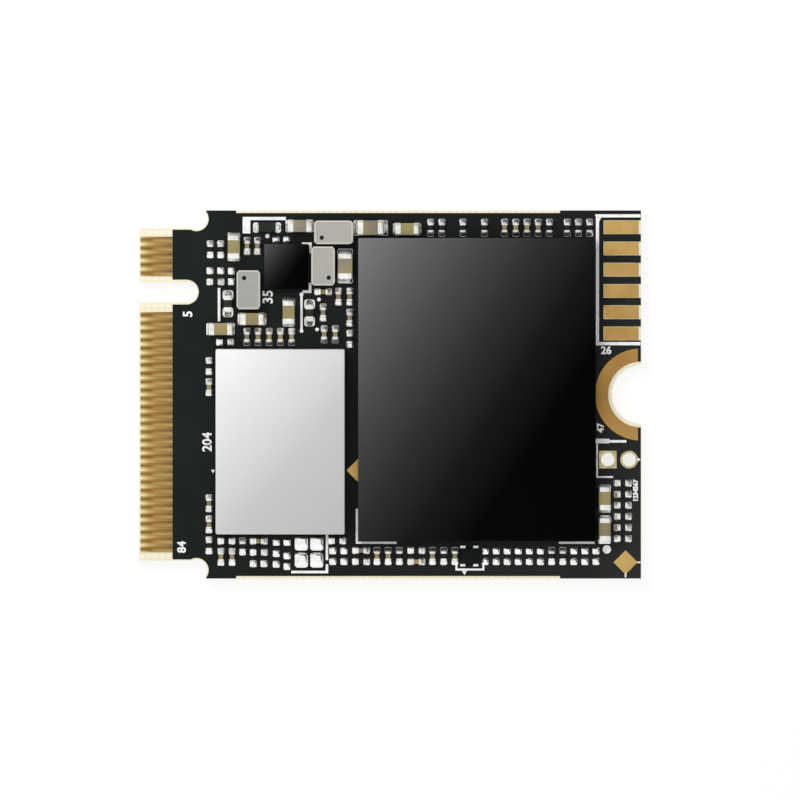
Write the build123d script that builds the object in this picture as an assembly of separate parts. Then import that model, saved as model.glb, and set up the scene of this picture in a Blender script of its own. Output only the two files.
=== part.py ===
from build123d import *
import os
from math import sqrt

os.makedirs("parts", exist_ok=True)

# An M.2 solid state drive, 22 x 30 mm, with all its parts on the upper side. Millimetres.
# +X runs from the gold fingers to the screw notch, +Y across the board, +Z up.
# The origin is the middle of the board's underside.

# Zones along the board, from the tip of the fingers to the screw end
tongue_length = 4.0
controller_strip = 0.57
controller_length = 7.74
chip_gap = 0.79
flash_length = 14.2
screw_strip = 2.7

# Zones across the board, from its lower long edge up
flash_margin = 2.25
flash_width = 18.1
flash_headroom = 1.65
controller_margin = 2.635
controller_width = 11.09
edge_margin = 0.605

# Board: laminate with a coat of solder mask on both faces
board_thickness = 0.8
mask_thickness = 0.03
mask_pullback = 0.07
key_bare = 0.14
edge_bare = 0.15
edge_bare_start = 1.8
edge_bare_end = 4.84
tip_bevel = 0.08

# Edge connector with the M key
tongue_width = 19.85
finger_pitch = 0.5
finger_width = 0.35
finger_length = 2.0
first_finger = 9.25
key_offset = 6.125
key_width = 1.2
key_depth = 3.5
finger_to_key = 0.25
relief_radius = 0.66
relief_overcut = 0.09

# Screw notch and its grounding ring
notch_radius = 1.75
ring_bare = 0.22
ring_band = 0.78
ring_end_mask = 0.18

# Bare copper by the screw end
program_pads = 6
program_pitch = 1.27
program_pad_length = 2.11
program_pad_width = 0.83
program_pad_setback = 0.13
program_to_notch = 3.65
header_pitch = 1.27
header_hole = 0.8
header_wall = 0.03
header_pad = 1.05
header_to_notch = 3.89
header_to_edge = 0.71
diamond_half = 0.72
diamond_to_edge = 0.92
diamond_to_bottom = 0.97
chip_diamond_rise = 4.21
chip_diamond_inset = 0.02

# Flash memory package
flash_ball_pitch = 1.0
flash_ball_edge = 0.6
flash_ball_radius = 0.22
flash_standoff = 0.25
flash_substrate = 0.2
flash_mould = 0.7
substrate_inset = 0.05

# Controller package under a metal lid
controller_ball_pitch = 1.0
controller_ball_edge = 0.6
controller_ball_radius = 0.18
controller_standoff = 0.2
controller_substrate = 0.3
lid_height = 0.5
lid_top = 0.22
lid_wall = 0.9
lid_chamfer = 0.05
die_thickness = 0.24
die_clearance = 0.3

# Power chip, small switch chip and crystal land
power_length = 2.61
power_width = 2.68
power_height = 0.5
power_contact_pitch = 0.5
power_contact = 0.24
power_contact_edge = 0.3
contact_height = 0.06
switch_length = 1.07
switch_width = 0.95
switch_height = 0.4
switch_lead_length = 0.14
switch_lead_width = 0.3
switch_lead_height = 0.1
dome_length = 0.8
dome_width = 0.9
dome_gap = 0.12
dome_height = 0.14
dome_slope = 0.13

# Spacing between neighbours
part_gap = 0.2
row_gap = 0.19
pad_rise = 0.03
body_inset = 0.02
fillet_share = 0.6

# Small capacitors and resistors share a footprint and a row spacing
small_length = 0.6
small_width = 0.3
small_end = 0.15
small_pad = 0.42
small_toe = 0.23
small_pitch = 0.67
strip_pitch = 0.663
small_capacitor_height = 0.3
small_resistor_height = 0.23

# Ferrites
ferrite_length = 1.0
ferrite_width = 0.5
ferrite_height = 0.4
ferrite_end = 0.28
ferrite_pad = 0.59
ferrite_pad_width = 0.63
ferrite_toe = 0.3

# Medium capacitors
medium_length = 1.5
medium_width = 0.76
medium_height = 0.75
medium_end = 0.36
medium_pad = 0.48
medium_toe = 0.1

# Large capacitors
large_length = 1.64
large_width = 0.92
large_height = 0.85
large_end = 0.38
large_pad = 0.62
large_toe = 0.22

# Diode, with flat leads in place of metal ends
diode_length = 1.36
diode_width = 0.6
diode_height = 0.45
diode_lead = 0.18
diode_lead_width = 0.36
diode_lead_height = 0.12
diode_pad = 0.36
diode_pad_width = 0.62
diode_toe = 0.16

# Moulded inductors
coil_length = 2.33
coil_width = 1.41
coil_height = 0.95
coil_corner = 0.2
coil_end = 0.5
coil_end_inset = 0.12
coil_end_height = 0.08

# Power supply, built leftwards from the flash package. Each rise is counted up from the
# controller's upper edge, and each shift along the board from the piece that is followed.
big_cap_gap = 0.32
coil_gap = 0.155
top_coil_gap = 0.14
top_coil_shift = 0.63
low_coil_gap = 0.245
coil_bottom = 3.79
power_bottom = 3.585
low_cap_rise = 1.785
low_cap_shift = 0.22
corner_cap_rise = 1.185
corner_cap_shift = 1.66
power_cap_rise = 2.195
power_cap_shift = 0.15
ferrite_rise = 2.155
ferrite_shift = 1.4
side_ferrite_rise = 2.705

# Small parts between the controller and the power supply
low_five_shift = 2.35
low_resistor_shift = 3.65
coil_pair_rise = 0.345
coil_pair_shift = 0.06
coil_cap_rise = 2.175
coil_foot_gap = 0.375
flash_side_gap = 0.3
flash_side_rise = 0.605

# Parts left of the power chip. Each drop is counted down from its upper edge.
left_cap_drop = 0.16
left_pair_drop = 0.11
left_resistor_drop = 0.31
left_column_shift = 1.1
left_column_drop = 1.59
bare_pair_shift = 0.14

# Parts above the power chip
diode_shift = 1.14
diode_rise = 0.99
edge_cap_shift = 0.82
edge_cap_rise = 1.08
top_bare_shift = 0.285
top_bare_rise = 0.24

# Strip above the flash package, each start counted from the package's left edge
strip_cap_gap = 0.15
strip_small_gap = 0.09
strip_large_start = 0.74
strip_medium_start = 2.93
top_two_start = 4.33
top_second_start = 6.26
top_third_start = 7.55
top_five_start = 8.75
top_last_start = 12.49

# Beside and below the controller, each start counted from the board's shoulder
controller_side_gap = 0.18
upper_side_drop = 1.025
lower_side_rise = 1.865
low_resistor_start = 1.22
low_pair_start = 0.89
low_single_start = 2.18
low_column_start = 3.15
low_bare_start = 4.525
low_bare_drop = 0.06
bare_column_drop = 1.055
bare_column_step = 0.135
crystal_start = 5.31
crystal_gap = 0.06

# Strip below the flash package, each start counted from the package's left edge
low_strip_gap = 0.38
corner_resistor_start = -1.26
bare_two_start = -1.52
first_column_start = 0.17
first_three_start = 1.12
second_column_start = 3.47
second_three_start = 4.44
switch_start = 6.64
strip_end_gap = 0.3

# Right of the flash package, each drop counted down from the header holes
end_column_gap = 0.55
end_column_drop = 1.41
end_cap_gap = 0.15
end_cap_drop = 2.32
end_cap_pitch = 1.86

# What the sizes above add up to
power_run = (4 * small_pad + 6 * part_gap + medium_width + power_length + coil_width + coil_gap
             + large_width + big_cap_gap)
chip_column = max(controller_strip + controller_length + chip_gap, power_run)
coil_column = coil_bottom + coil_length + top_coil_gap + coil_width + edge_margin
board_length = tongue_length + chip_column + flash_length + screw_strip
flash_column = flash_margin + flash_width + flash_headroom
board_width = max(flash_column, controller_margin + controller_width + coil_column)

tip = -board_length / 2
end = board_length / 2
bottom = -board_width / 2
top = board_width / 2
shoulder = tip + tongue_length
laminate_low = mask_thickness
laminate_high = board_thickness - mask_thickness
mask_start = tip + finger_length
pad_top = board_thickness + pad_rise

pieces = {}


def add(node, *solids):
    """Puts solids in a named node."""
    pieces.setdefault(node, []).extend(solids)


def block(length, width, height, x, y, z):
    """A box that stands on height z, centred over x and y."""
    return Pos(x, y, z) * Box(length, width, height, align=(Align.CENTER, Align.CENTER, Align.MIN))


def slab(face, z, height):
    """A flat face raised into a plate that stands on height z."""
    return extrude(Pos(0, 0, z) * face, height)


def area(left, right, low, high):
    """A rectangle between four edges."""
    return Pos((left + right) / 2, (low + high) / 2) * Rectangle(right - left, high - low)


class Spot:
    """A rectangle on the board, seen from above."""

    def __init__(self, left, low, length, width):
        self.left = left
        self.right = left + length
        self.low = low
        self.high = low + width
        self.length = length
        self.width = width
        self.x = left + length / 2
        self.y = low + width / 2


# Places of the packages
flash = Spot(end - screw_strip - flash_length, bottom + flash_margin, flash_length, flash_width)
controller = Spot(flash.left - chip_gap - controller_length, bottom + controller_margin,
                  controller_length, controller_width)
above = controller.high


# Board and bare copper


def diamond(x, y):
    """A square pad that stands on its corner."""
    side = diamond_half * sqrt(2)
    return Pos(x, y) * Rot(0, 0, 45) * Rectangle(side, side)


def rounded_slot(left, right, y, width):
    """A slot that is open at its left end and round at its right end."""
    straight = area(left, right - width / 2, y - width / 2, y + width / 2)
    return straight + Pos(right - width / 2, y) * Circle(width / 2)


def board_outline(grow, key_grow, notch_grow):
    """The board's outline, with its tongue, its key notch and its screw notch each drawn back."""
    half_tongue = tongue_width / 2 - grow
    relief_x = shoulder - relief_radius + relief_overcut
    relief_y = tongue_width / 2 + relief_radius - relief_overcut
    face = area(shoulder, end, bottom, top) + area(tip, shoulder, -half_tongue, half_tongue)
    # Beside the tongue the corners are full, and the router leaves its own radius in them.
    face += area(relief_x, shoulder, -relief_y, relief_y)
    for side in (-1, 1):
        face -= Pos(relief_x, side * relief_y) * Circle(relief_radius + grow)
    face -= rounded_slot(tip - key_width, tip + key_depth + grow, key_offset, key_width + 2 * key_grow)
    return face - Pos(end, 0) * Circle(notch_radius + notch_grow)


program_left = end - program_pad_setback - program_pad_length
program_rows = [program_to_notch + program_pitch * row for row in range(program_pads)]
round_hole = (end - header_to_edge, -header_to_notch)
square_hole = (end - header_to_edge - header_pitch, -header_to_notch)
diamonds = [
    (end - diamond_to_edge, bottom + diamond_to_bottom),
    (flash.left + chip_diamond_inset, flash.low + chip_diamond_rise),
]
ring_outer = notch_radius + ring_bare + ring_band


def ring_face(inner):
    """The half ring round the screw notch, from an inner radius out, cut short of the board's end."""
    return (Pos(end, 0) * (Circle(ring_outer) - Circle(inner))) & area(tip, end - ring_end_mask, bottom, top)


def header_faces():
    """The outlines of the square and the round header pad."""
    return [Pos(*square_hole) * Rectangle(header_pad, header_pad), Pos(*round_hole) * Circle(header_pad / 2)]


def mask_face(upper):
    """Where solder mask covers the board: the outline, drawn back from routed edges and bare copper."""
    face = board_outline(mask_pullback, key_bare, ring_bare) & area(mask_start, end, bottom, top)
    for low in (bottom, top - edge_bare):
        face -= area(shoulder + edge_bare_start, end - edge_bare_end, low, low + edge_bare)
    face -= ring_face(notch_radius)
    for pad in header_faces():
        face -= pad
    if upper:
        for y in program_rows:
            face -= area(program_left, end, y - program_pad_width / 2, y + program_pad_width / 2)
        for x, y in diamonds:
            face -= diamond(x, y)
    return face


def circuit_board():
    laminate = slab(board_outline(0, 0, 0), laminate_low, laminate_high - laminate_low)
    tips = laminate.edges().filter_by(Axis.Y).group_by(Axis.X)[0]
    laminate = chamfer(tips, tip_bevel)
    board = laminate + slab(mask_face(True), laminate_high, mask_thickness)
    board += slab(mask_face(False), 0, mask_thickness)
    for x, y in (square_hole, round_hole):
        board -= Pos(x, y) * Cylinder(header_hole / 2 + header_wall, 3 * board_thickness)
    return board


def finger(y, upper):
    """One contact, flush with the mask, its tip cut along the board's bevel."""
    face, foot = (board_thickness, laminate_high) if upper else (0, laminate_low)
    start = tip + tip_bevel
    profile = Polygon((start, foot), (start + mask_thickness, face), (mask_start, face), (mask_start, foot),
                      align=None)
    return extrude(Plane.XZ.offset(-y) * profile, finger_width / 2, both=True)


def finger_rows(first):
    """The places of one side's contacts across the tongue, without those over the key."""
    count = int(2 * first / finger_pitch) + 1
    rows = [-first + finger_pitch * step for step in range(count)]
    clear = key_width / 2 + finger_to_key + finger_width / 2
    return [y for y in rows if abs(y - key_offset) > clear]


def header_barrel(pad):
    """A plated hole: a thin wall through the board with a pad on both faces."""
    x, y = pad.center().X, pad.center().Y
    wall = slab(Pos(x, y) * Circle(header_hole / 2 + header_wall), 0, board_thickness)
    wall += slab(pad, laminate_high, mask_thickness) + slab(pad, 0, mask_thickness)
    return wall - Pos(x, y) * Cylinder(header_hole / 2, 3 * board_thickness)


add("circuit_board", circuit_board())
add("contact_fingers_top", *[finger(y, True) for y in finger_rows(first_finger)])
add("contact_fingers_bottom", *[finger(y, False) for y in finger_rows(first_finger - finger_pitch / 2)])
ring = ring_face(notch_radius + ring_bare)
add("mounting_ring_top", slab(ring, laminate_high, mask_thickness))
add("mounting_ring_bottom", slab(ring, 0, mask_thickness))
for node, pad in zip(("header_square_hole", "header_round_hole"), header_faces()):
    add(node, header_barrel(pad))
for y in program_rows:
    add("programming_pads", block(program_pad_length, program_pad_width, mask_thickness,
                                  program_left + program_pad_length / 2, y, laminate_high))
for x, y in diamonds:
    add("diamond_pads", slab(diamond(x, y), laminate_high, mask_thickness))


# Packages


def rim_places(spot, pitch, edge):
    """The outermost places of a grid that fills a rectangle up to its edge."""
    columns = int((spot.length - 2 * edge) / pitch)
    rows = int((spot.width - 2 * edge) / pitch)
    grid = [(across, up) for across in range(columns + 1) for up in range(rows + 1)]
    return [(spot.x + (across - columns / 2) * pitch, spot.y + (up - rows / 2) * pitch)
            for across, up in grid if across in (0, columns) or up in (0, rows)]


def ball_rim(spot, pitch, edge, radius, height):
    """The outer solder balls under a package, each as a plain post."""
    post = extrude(RegularPolygon(radius, 4), height)
    return [Pos(x, y, board_thickness) * post for x, y in rim_places(spot, pitch, edge)]


def flash_package():
    inset = 2 * substrate_inset
    base = board_thickness + flash_standoff
    add("flash_balls", *ball_rim(flash, flash_ball_pitch, flash_ball_edge, flash_ball_radius, flash_standoff))
    add("flash_substrate", block(flash.length - inset, flash.width - inset, flash_substrate,
                                 flash.x, flash.y, base))
    add("flash_mould", block(flash.length, flash.width, flash_mould,
                             flash.x, flash.y, base + flash_substrate))


def controller_package():
    inset = 2 * substrate_inset
    spot = controller
    base = board_thickness + controller_standoff
    seat = base + controller_substrate
    room = lid_height - lid_top
    add("controller_balls", *ball_rim(spot, controller_ball_pitch, controller_ball_edge,
                                      controller_ball_radius, controller_standoff))
    add("controller_substrate", block(spot.length - inset, spot.width - inset, controller_substrate,
                                      spot.x, spot.y, base))
    lid = block(spot.length, spot.width, lid_height, spot.x, spot.y, seat)
    lid = chamfer(lid.faces().sort_by(Axis.Z)[-1].edges(), lid_chamfer)
    hollow_length = spot.length - 2 * lid_wall
    hollow_width = spot.width - 2 * lid_wall
    add("controller_lid", lid - block(hollow_length, hollow_width, room, spot.x, spot.y, seat))
    die_length = hollow_length - 2 * die_clearance
    die_width = hollow_width - 2 * die_clearance
    add("controller_die", block(die_length, die_width, die_thickness, spot.x, spot.y, seat))
    add("controller_thermal_paste", block(die_length, die_width, room - die_thickness, spot.x, spot.y,
                                          seat + die_thickness))


def coil(x, y, turned):
    """A moulded inductor on two metal ends, along X, or along Y when turned."""
    place = Pos(x, y, pad_top) * Rot(0, 0, 90 if turned else 0)
    body = extrude(RectangleRounded(coil_length, coil_width, coil_corner), coil_height - coil_end_height)
    add("inductor_bodies", place * Pos(0, 0, coil_end_height) * body)
    for side in (-1, 1):
        reach = side * (coil_length - coil_end) / 2
        foot_width = coil_width - 2 * coil_end_inset
        add("inductor_terminals", place * block(coil_end, foot_width, coil_end_height, reach, 0, 0))
        add("large_part_pads", place * block(coil_end, foot_width, pad_rise, reach, 0, -pad_rise))


def power_chip(spot):
    roof = power_height - contact_height
    add("power_chip_body", block(spot.length, spot.width, roof, spot.x, spot.y,
                                 board_thickness + contact_height))
    for x, y in rim_places(spot, power_contact_pitch, power_contact_edge):
        contact = block(power_contact, power_contact, contact_height, x, y, board_thickness)
        add("power_chip_contacts", contact)


def switch_chip(x, y):
    """A small chip with two leads at each long side."""
    add("switch_chip_body", block(switch_length, switch_width, switch_height, x, y, board_thickness))
    for side in (-1, 1):
        for along in (-1, 1):
            lead_x = x + along * (switch_length - switch_lead_width) / 2
            lead_y = y + side * (switch_width + switch_lead_length) / 2
            add("switch_chip_leads", block(switch_lead_width, switch_lead_length, switch_lead_height,
                                           lead_x, lead_y, board_thickness))


def solder_dome(x, y):
    """A pad with a heap of solder and no part on it."""
    heap = block(dome_length, dome_width, dome_height, x, y, board_thickness)
    add("crystal_pads", chamfer(heap.faces().sort_by(Axis.Z)[-1].edges(), dome_slope))


# Soldered parts with two ends


class ChipSize:
    """Sizes of a soldered part: its body, its metal ends, the pads beneath and how far they show."""

    def __init__(self, name, body, end, pad, toe):
        self.name = name
        self.length, self.width, self.height = body
        self.end, self.end_width, self.end_height = end
        self.pad, self.pad_width = pad
        self.toe = toe
        self.footprint = self.length + 2 * toe


def capped_part(name, length, width, height, end, pad, toe):
    """Sizes of a part whose metal ends wrap its whole body."""
    return ChipSize(name, (length, width, height), (end, width, height), pad, toe)


small_pads = (small_pad, small_pad)
small_capacitor = capped_part("small_capacitor", small_length, small_width, small_capacitor_height,
                              small_end, small_pads, small_toe)
small_resistor = capped_part("small_resistor", small_length, small_width, small_resistor_height,
                             small_end, small_pads, small_toe)
ferrite = capped_part("ferrite", ferrite_length, ferrite_width, ferrite_height,
                      ferrite_end, (ferrite_pad, ferrite_pad_width), ferrite_toe)
medium_capacitor = capped_part("medium_capacitor", medium_length, medium_width, medium_height,
                               medium_end, (medium_pad, medium_width), medium_toe)
large_capacitor = capped_part("large_capacitor", large_length, large_width, large_height,
                              large_end, (large_pad, large_width), large_toe)
diode = ChipSize("diode", (diode_length, diode_width, diode_height),
                 (diode_lead, diode_lead_width, diode_lead_height), (diode_pad, diode_pad_width), diode_toe)


def chip(size, x, y, turned=True):
    """A part with two ends, along X, or along Y when turned, with solder up the ends of the bigger ones."""
    place = Pos(x, y) * Rot(0, 0, 90 if turned else 0)
    small = size in (small_capacitor, small_resistor)
    pads = "small_part_pads" if small else "large_part_pads"
    inner = size.length - 2 * size.end
    width = size.width - 2 * body_inset
    body_height = size.height - 2 * body_inset
    add(size.name + "_bodies", place * block(inner, width, body_height, 0, 0, pad_top + body_inset))
    for side in (-1, 1):
        end_x = side * (size.length - size.end) / 2
        pad_x = side * (size.length / 2 + size.toe - size.pad / 2)
        metal_end = block(size.end, size.end_width, size.end_height, end_x, 0, pad_top)
        add(size.name + "_terminals", place * metal_end)
        add(pads, place * block(size.pad, size.pad_width, pad_rise, pad_x, 0, board_thickness))
        if size in (medium_capacitor, large_capacitor):
            face = side * size.length / 2
            climb = fillet_share * size.end_height
            toe_end = face + side * size.toe
            wedge = Polygon((face, pad_top), (toe_end, pad_top), (face, pad_top + climb), align=None)
            add("solder_fillets", place * extrude(Plane.XZ * wedge, size.end_width / 2, both=True))


def bare_pads(x, y, turned):
    """Two tinned pads of a small part that isn't fitted."""
    reach = (small_capacitor.footprint - small_pad) / 2
    for side in (-reach, reach):
        pad_x, pad_y = (x, y + side) if turned else (x + side, y)
        add("spare_pads", block(small_pad, small_pad, pad_rise, pad_x, pad_y, board_thickness))


def fit(letter, x, y, turned=True):
    """Fits a small capacitor C, a small resistor R, or leaves the two pads of one bare for o."""
    if letter == "o":
        bare_pads(x, y, turned)
    else:
        chip(small_capacitor if letter == "C" else small_resistor, x, y, turned)


def row(letters, x, y, pitch=small_pitch):
    """Small parts that stand along Y, side by side from x rightwards."""
    for step, letter in enumerate(letters):
        fit(letter, x + step * pitch, y)


def column(letters, x, y, pitch=small_pitch):
    """Small parts that lie along X, one below another from y down."""
    for step, letter in enumerate(letters):
        fit(letter, x, y - step * pitch, False)


def stack(letters, x, y):
    """Small parts that stand along Y, one below another from y down."""
    for step, letter in enumerate(letters):
        fit(letter, x, y - step * (small_capacitor.footprint + part_gap))


half_print = small_capacitor.footprint / 2
half_pad = small_pad / 2

flash_package()
controller_package()

# Power supply
big_cap_x = flash.left - big_cap_gap - large_width / 2
coil_x = big_cap_x - large_width / 2 - coil_gap - coil_width / 2
power = Spot(coil_x - coil_width / 2 - part_gap - power_length, above + power_bottom,
             power_length, power_width)
coil_y = above + coil_bottom + coil_length / 2
top_coil_y = coil_y + coil_length / 2 + top_coil_gap + coil_width / 2
low_coil_x = power.left - low_coil_gap - coil_width / 2
low_cap_y = above + low_cap_rise
low_coil_y = low_cap_y + medium_width / 2 + part_gap + coil_length / 2

power_chip(power)
coil(coil_x, coil_y, True)
coil(coil_x + top_coil_shift, top_coil_y, False)
coil(low_coil_x, low_coil_y, True)
chip(large_capacitor, big_cap_x, coil_y)
chip(medium_capacitor, low_coil_x + low_cap_shift, low_cap_y, False)
chip(medium_capacitor, low_coil_x - corner_cap_shift, above + corner_cap_rise, False)
chip(medium_capacitor, power.x + power_cap_shift, above + power_cap_rise)
chip(ferrite, power.x + ferrite_shift, above + ferrite_rise)
chip(ferrite, low_coil_x - coil_width / 2 - part_gap - ferrite_pad_width / 2, above + side_ferrite_rise)

# Small parts between the controller and the power supply
row("CCCCC", power.x - low_five_shift, above + row_gap + half_print)
column("R", power.x - low_resistor_shift, above + row_gap + half_pad)
row("CC", coil_x + coil_pair_shift, above + coil_pair_rise + half_print)
row("C", coil_x, above + coil_cap_rise)
column("C", coil_x, above + coil_bottom - coil_foot_gap)
near_flash = flash.left - flash_side_gap - half_pad
side_top = above + flash_side_rise + 2 * (small_capacitor.footprint + part_gap)
stack("CCR", near_flash, side_top)
stack("C", near_flash - small_pitch, side_top)

# Left of the power chip
next_pad = small_pad + part_gap
left_pair_x = power.left - part_gap - half_pad - next_pad
left_cap_x = left_pair_x - half_pad - part_gap - medium_width / 2
left_resistor_x = left_cap_x - medium_width / 2 - part_gap - half_pad - next_pad
row("CC", left_pair_x, power.high - left_pair_drop, next_pad)
chip(medium_capacitor, left_cap_x, power.high - left_cap_drop)
row("RR", left_resistor_x, power.high - left_resistor_drop, next_pad)
column("oR", left_cap_x - left_column_shift, power.high - left_column_drop)
row("o", left_cap_x - bare_pair_shift, power.high - left_column_drop - small_pitch / 2)

# Above the power chip
column("o", power.x - top_bare_shift, power.high + top_bare_rise)
chip(diode, power.x - diode_shift, power.high + diode_rise, False)
chip(medium_capacitor, power.x + edge_cap_shift, power.high + edge_cap_rise, False)

# Strip above the flash package
strip_y = flash.high + strip_small_gap + half_print
chip(large_capacitor, flash.left + strip_large_start, flash.high + strip_cap_gap + large_width / 2, False)
chip(medium_capacitor, flash.left + strip_medium_start, flash.high + strip_cap_gap + medium_width / 2, False)
row("RR", flash.left + top_two_start, strip_y)
row("R", flash.left + top_second_start, strip_y)
row("R", flash.left + top_third_start, strip_y)
row("CCCCR", flash.left + top_five_start, strip_y)
row("RRR", flash.left + top_last_start, strip_y)

# Beside and below the controller
side_x = controller.left - controller_side_gap - half_pad
stack("RC", side_x, controller.high - upper_side_drop)
stack("CCR", side_x, controller.low + lower_side_rise)
below = controller.low - row_gap
column("R", shoulder + low_resistor_start, below - half_pad)
row("CC", shoulder + low_pair_start, below - small_pad - part_gap - half_print)
row("R", shoulder + low_single_start, below - half_print)
column("CRo", shoulder + low_column_start, below - half_pad)
bare_y = below - half_pad - low_bare_drop
column("o", shoulder + low_bare_start, bare_y)
for step, side in enumerate((-1, 1)):
    bare_x = shoulder + low_bare_start + side * (half_print - half_pad)
    row("o", bare_x, below - half_pad - bare_column_drop - step * bare_column_step)
for across in range(2):
    for down in range(2):
        solder_dome(shoulder + crystal_start + dome_length / 2 + across * (dome_length + dome_gap),
                    controller.low - crystal_gap - dome_width / 2 - down * (dome_width + dome_gap))

# Strip below the flash package
low_y = flash.low - low_strip_gap - half_print
row("oo", flash.left + bare_two_start, low_y)
column("R", flash.left + corner_resistor_start, flash.low)
column("CR", flash.left + first_column_start, low_y + small_pitch / 2)
row("CCR", flash.left + first_three_start, low_y)
column("RC", flash.left + second_column_start, low_y + small_pitch / 2)
row("CRC", flash.left + second_three_start, low_y)
switch_x = flash.left + switch_start
switch_chip(switch_x, low_y)
row_start = switch_x + switch_length / 2 + part_gap + half_pad
row_room = flash.right + strip_end_gap - half_pad - row_start
row("ooooooRRooo"[:int(row_room / strip_pitch) + 1], row_start, low_y, strip_pitch)

# Right of the flash package
column("RRRRRR", end - end_column_gap - half_print, -header_to_notch - end_column_drop, strip_pitch)
for step in range(2):
    cap_y = -header_to_notch - end_cap_drop - step * end_cap_pitch
    chip(medium_capacitor, flash.right + end_cap_gap + medium_width / 2, cap_y)

for node, solids in pieces.items():
    export_step(Compound(children=solids), f"parts/{node}.step")
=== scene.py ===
from math import atan2, hypot, pi, radians

import bmesh
import bpy
from mathutils import Matrix, Vector


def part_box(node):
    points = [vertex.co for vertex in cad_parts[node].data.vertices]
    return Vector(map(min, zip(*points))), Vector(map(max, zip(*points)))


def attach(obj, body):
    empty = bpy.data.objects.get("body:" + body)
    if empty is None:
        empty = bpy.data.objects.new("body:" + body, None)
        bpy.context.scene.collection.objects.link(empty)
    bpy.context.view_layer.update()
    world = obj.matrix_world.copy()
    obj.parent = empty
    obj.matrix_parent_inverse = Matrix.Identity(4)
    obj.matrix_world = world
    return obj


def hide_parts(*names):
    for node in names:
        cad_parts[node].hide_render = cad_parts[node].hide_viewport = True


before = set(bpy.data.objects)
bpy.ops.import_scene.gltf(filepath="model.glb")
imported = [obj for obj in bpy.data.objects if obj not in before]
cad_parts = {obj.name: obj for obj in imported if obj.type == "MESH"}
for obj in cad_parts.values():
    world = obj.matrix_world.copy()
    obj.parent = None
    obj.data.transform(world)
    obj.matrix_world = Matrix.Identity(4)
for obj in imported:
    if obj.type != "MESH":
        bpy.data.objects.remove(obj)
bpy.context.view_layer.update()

# An M.2 solid state drive seen from above: a black card with gold contacts, a black memory chip, a
# controller under a nickel lid, and rows of small soldered parts.
# Pieces are drawn in millimetres and brought to metres when they are finished.
MM = 0.001

# Corners nearer to each other than this are one
CLOSE = 1e-5

# Heights on the card
BOARD_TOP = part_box("circuit_board")[1].z / MM
PAD_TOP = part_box("small_part_pads")[1].z / MM
MASK_FILM = 0.03
PAD_FILM = 0.03
# Printed dots and filled shapes lie on the ends of lines, so their film is a little thicker.
LINE_FILM = 0.012
PATCH_FILM = 0.017

# Gold contacts on the tongue: from their tips to the mask along X, and from the card's middle to the
# outermost edge along Y, save for a gap round the key
TIP = -14.9
ROOT = -13.0
PITCH = 0.5
OUTERMOST = 9.43
GAP_MIDDLE = 6.0
GAP_HALF = 1.07

# Small pads, and how far they reach beyond the metal ends
PAD = 0.42
PAD_CORNER = 0.1
TOE = 0.23

# Where the card stands in the picture, in pixels
PICTURE = 800
PIXELS_PER_MM = 16.73
CARD_MIDDLE = (390.0, 394.5)


# Finishes


def hex_colour(code):
    """An sRGB hex colour as linear red, green, blue and alpha."""
    parts = [int(code[i:i + 2], 16) / 255 for i in (0, 2, 4)]
    return tuple(c / 12.92 if c <= 0.04045 else ((c + 0.055) / 1.055) ** 2.4 for c in parts) + (1.0,)


def per_mm(size):
    """The scale of a pattern whose features are this many millimetres wide."""
    return 1 / (size * MM)


def bands(size):
    """The scale of a wave texture whose bands are this many millimetres apart."""
    return per_mm(size) * pi / 10


def node(tree, kind, values=None, links=None, stops=None, **settings):
    """Adds a shader node with its settings, input values, incoming links and colour stops."""
    new = tree.nodes.new("ShaderNode" + kind)
    for name, value in settings.items():
        setattr(new, name, value)
    for name, value in (values or {}).items():
        new.inputs[name].default_value = value
    for name, source in (links or {}).items():
        tree.links.new(source, new.inputs[name])
    if stops:
        ramp = new.color_ramp
        while len(ramp.elements) < len(stops):
            ramp.elements.new(0.5)
        for element, (place, code) in zip(ramp.elements, stops):
            element.position = place
            element.color = hex_colour(code)
    return new


def finish(name, roughness, metallic=0.0, specular=0.5):
    """Starts a finish: its name, its plain values, and the object coordinates that its patterns read."""
    material = bpy.data.materials.new(name)
    material.use_nodes = True
    tree = material.node_tree
    shader = tree.nodes["Principled BSDF"]
    shader.inputs["Roughness"].default_value = roughness
    shader.inputs["Metallic"].default_value = metallic
    shader.inputs["Specular IOR Level"].default_value = specular
    if not metallic:
        shader.inputs["IOR"].default_value = 1.5
    place = node(tree, "TexCoord").outputs["Object"]
    return material, tree, shader, place


def grain(tree, shader, place, size, height):
    """Gives a finish a fine relief: bumps of this size and height, in millimetres."""
    noise = node(tree, "TexNoise", {"Scale": per_mm(size), "Detail": 3.0}, {"Vector": place})
    bump = node(tree, "Bump", {"Distance": height * MM, "Strength": 1.0}, {"Height": noise.outputs["Fac"]})
    tree.links.new(bump.outputs["Normal"], shader.inputs["Normal"])


def clouds(tree, place, size, detail, stops, ground=None):
    """A tone that wavers in clouds of this size, in millimetres. On a ground, the clouds only shade it."""
    noise = node(tree, "TexNoise", {"Scale": per_mm(size), "Detail": detail}, {"Vector": place})
    tone = node(tree, "ValToRGB", links={"Fac": noise.outputs["Fac"]}, stops=stops).outputs["Color"]
    if ground is not None:
        tone = node(tree, "Mix", {"Factor": 1.0}, {"A": ground, "B": tone}, data_type="RGBA",
                    blend_type="MULTIPLY").outputs["Result"]
    return tone


def diagonal(tree, place, corner, run, stops):
    """A tone that changes evenly from a corner along a run, both in millimetres."""
    length = hypot(*run)
    turn = atan2(run[1], run[0])
    start = (corner[0] * run[0] + corner[1] * run[1]) / length
    mapping = node(tree, "Mapping", {"Location": (-start / length, 0, 0), "Rotation": (0, 0, -turn),
                                     "Scale": (per_mm(length),) * 3}, {"Vector": place})
    slope = node(tree, "TexGradient", links={"Vector": mapping.outputs[0]})
    return node(tree, "ValToRGB", links={"Fac": slope.outputs["Fac"]}, stops=stops).outputs["Color"]


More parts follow.
